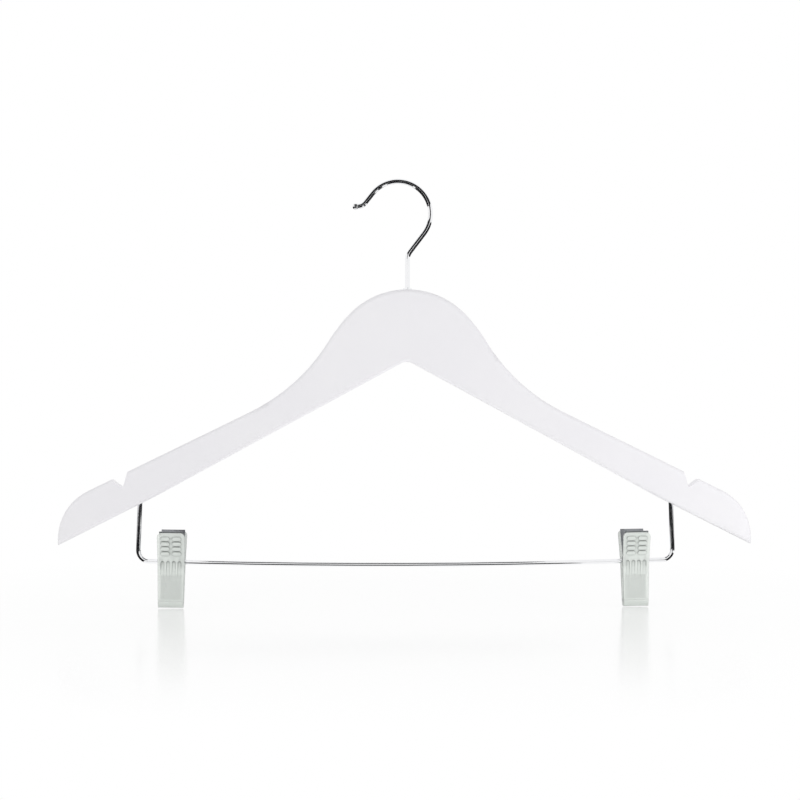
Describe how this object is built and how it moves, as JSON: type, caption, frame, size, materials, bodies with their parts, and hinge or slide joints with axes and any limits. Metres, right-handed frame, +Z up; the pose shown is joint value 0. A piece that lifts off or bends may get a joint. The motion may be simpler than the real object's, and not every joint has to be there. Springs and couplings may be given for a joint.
{
  "type": "skirt hanger",
  "caption": "Flat wooden skirt hanger with a swivel wire hook, strap notches, a bent wire bar under the arms and sprung clear plastic clips that slide along it.",
  "frame": {"origin": "where the hook bears on a rail: the highest point of the inside of its bow", "axes": "+Z up, +X to the right seen from the front, the front faces -Y"},
  "size_m": [0.445, 0.023, 0.2752],
  "materials": {
    "white_lacquer": "white lacquer over sanded wood, smooth, semi-gloss",
    "chrome_wire": "bright chrome plating",
    "zinc_steel": "zinc plated",
    "spring_steel": "bare spring strip",
    "clear_plastic": "clear moulded plastic with a faint green tint, polished",
    "soft_pad": "soft translucent grey pad, toothed"
  },
  "bodies": {
    "swivel_hook": {"hook": "chrome_wire"},
    "hanger": {"wooden_body": "white_lacquer", "crown_ferrule": "chrome_wire", "hook_washer": "zinc_steel", "skirt_bar": "chrome_wire"},
    "left_clip": {"left_clip_front": "clear_plastic", "left_clip_spring": "spring_steel", "left_front_pad": "soft_pad"},
    "left_jaw": {"left_clip_rear": "clear_plastic", "left_rear_pad": "soft_pad"},
    "right_clip": {"right_clip_front": "clear_plastic", "right_clip_spring": "spring_steel", "right_front_pad": "soft_pad"},
    "right_jaw": {"right_clip_rear": "clear_plastic", "right_rear_pad": "soft_pad"}
  },
  "joints": [
    {"name": "hook_swivel", "type": "hinge", "parent": "swivel_hook", "child": "hanger", "pos_m": [0.0061, 0, -0.0681], "axis": [0, 0, 1], "continuous": true},
    {"name": "left_clip_slide", "type": "slide", "parent": "hanger", "child": "left_clip", "axis": [0.9998, 0, -0.0174], "range_m": [-0.005, 0.13]},
    {"name": "left_jaw_open", "type": "hinge", "parent": "left_clip", "child": "left_jaw", "pos_m": [-0.1446, 0, -0.24284], "axis": [0.9998, 0, -0.0174], "range_deg": [0, 30], "stiffness_Nm_per_rad": 0.1, "springref_deg": -68.75, "deforming": ["left_clip_spring"]},
    {"name": "right_clip_slide", "type": "slide", "parent": "hanger", "child": "right_clip", "axis": [0.9999, 0, 0.0167], "range_m": [-0.13, 0.005]},
    {"name": "right_jaw_open", "type": "hinge", "parent": "right_clip", "child": "right_jaw", "pos_m": [0.1534, 0, -0.24294], "axis": [0.9999, 0, 0.0167], "range_deg": [0, 30], "stiffness_Nm_per_rad": 0.1, "springref_deg": -68.75, "deforming": ["right_clip_spring"]}
  ]
}
